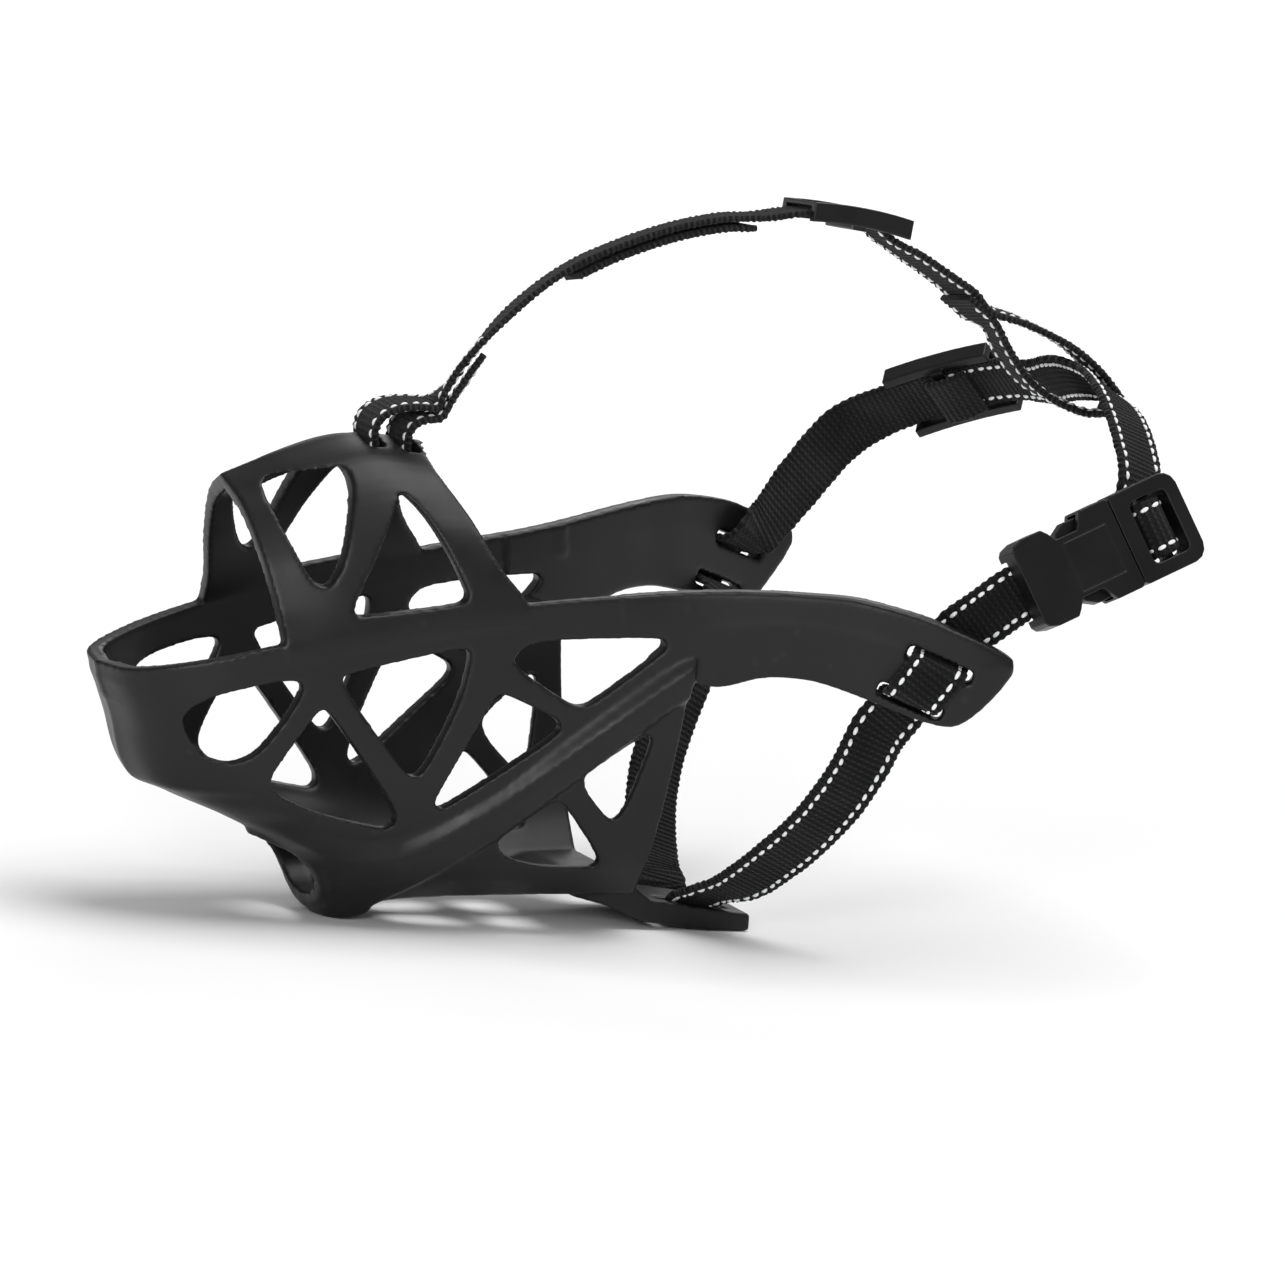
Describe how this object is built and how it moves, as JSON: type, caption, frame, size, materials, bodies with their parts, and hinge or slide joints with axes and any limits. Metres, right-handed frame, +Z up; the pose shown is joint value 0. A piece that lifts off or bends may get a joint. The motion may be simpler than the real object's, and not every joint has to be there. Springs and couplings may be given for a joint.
{
  "type": "basket muzzle",
  "caption": "soft moulded basket muzzle for a dog, open at the nose and mouth, with webbing neck, throat and forehead straps, slide adjusters and a side-release buckle",
  "frame": {"origin": "centre of the bounding box in X and Y, lowest point in Z", "axes": "+X from the nose end towards the neck strap, +Y towards the wearer's right, +Z up; rests on the chin cup and the throat tab"},
  "size_m": [0.1836, 0.1076, 0.1253],
  "materials": {
    "basket_rubber": "matte",
    "webbing": "woven, matte",
    "buckle_plastic": "satin"
  },
  "bodies": {
    "muzzle": {"muzzle_basket": "basket_rubber", "buckle_female": "buckle_plastic", "strap_neck_near": "webbing", "strap_wing_wrap_near": "webbing", "strap_throat_near": "webbing", "strap_tab_pass": "webbing", "strap_throat_far": "webbing", "strap_wing_wrap_far": "webbing", "strap_neck_far": "webbing", "strap_neck_rear": "webbing", "strap_forehead_front_loop": "webbing", "strap_forehead_sewn_end": "webbing", "strap_forehead_main": "webbing", "strap_forehead_tail": "webbing", "strap_forehead_rear": "webbing", "strap_forehead_rear_loop": "webbing"},
    "plug": {"buckle_male": "buckle_plastic", "strap_plug_wrap": "webbing"},
    "prong_upper": {"buckle_prong_upper": "buckle_plastic"},
    "prong_lower": {"buckle_prong_lower": "buckle_plastic"},
    "neck_adjuster": {"neck_slide": "buckle_plastic"},
    "forehead_adjuster": {"forehead_slide": "buckle_plastic"}
  },
  "joints": [
    {"name": "buckle_release", "type": "slide", "parent": "muzzle", "child": "plug", "axis": [0.911, 0.135, 0.3897], "range_m": [0, 0.013]},
    {"name": "prong_upper_squeeze", "type": "hinge", "parent": "plug", "child": "prong_upper", "pos_m": [0.07233, -0.0444, 0.07884], "axis": [-0.007, -0.9398, 0.3418], "range_deg": [0, 6]},
    {"name": "prong_lower_squeeze", "type": "hinge", "parent": "plug", "child": "prong_lower", "pos_m": [0.07604, -0.04723, 0.07115], "axis": [-0.007, -0.9398, 0.3418], "range_deg": [-6, 0]},
    {"name": "neck_adjust", "type": "slide", "parent": "muzzle", "child": "neck_adjuster", "axis": [0.6321, -0.6729, 0.3842], "range_m": [-0.008, 0.002]},
    {"name": "forehead_adjust", "type": "slide", "parent": "muzzle", "child": "forehead_adjuster", "axis": [0.9882, 0, -0.153], "range_m": [-0.007, 0.0005]}
  ],
  "couplings": [
    {"joint": "prong_lower_squeeze", "follows": "prong_upper_squeeze", "ratio": -1}
  ]
}
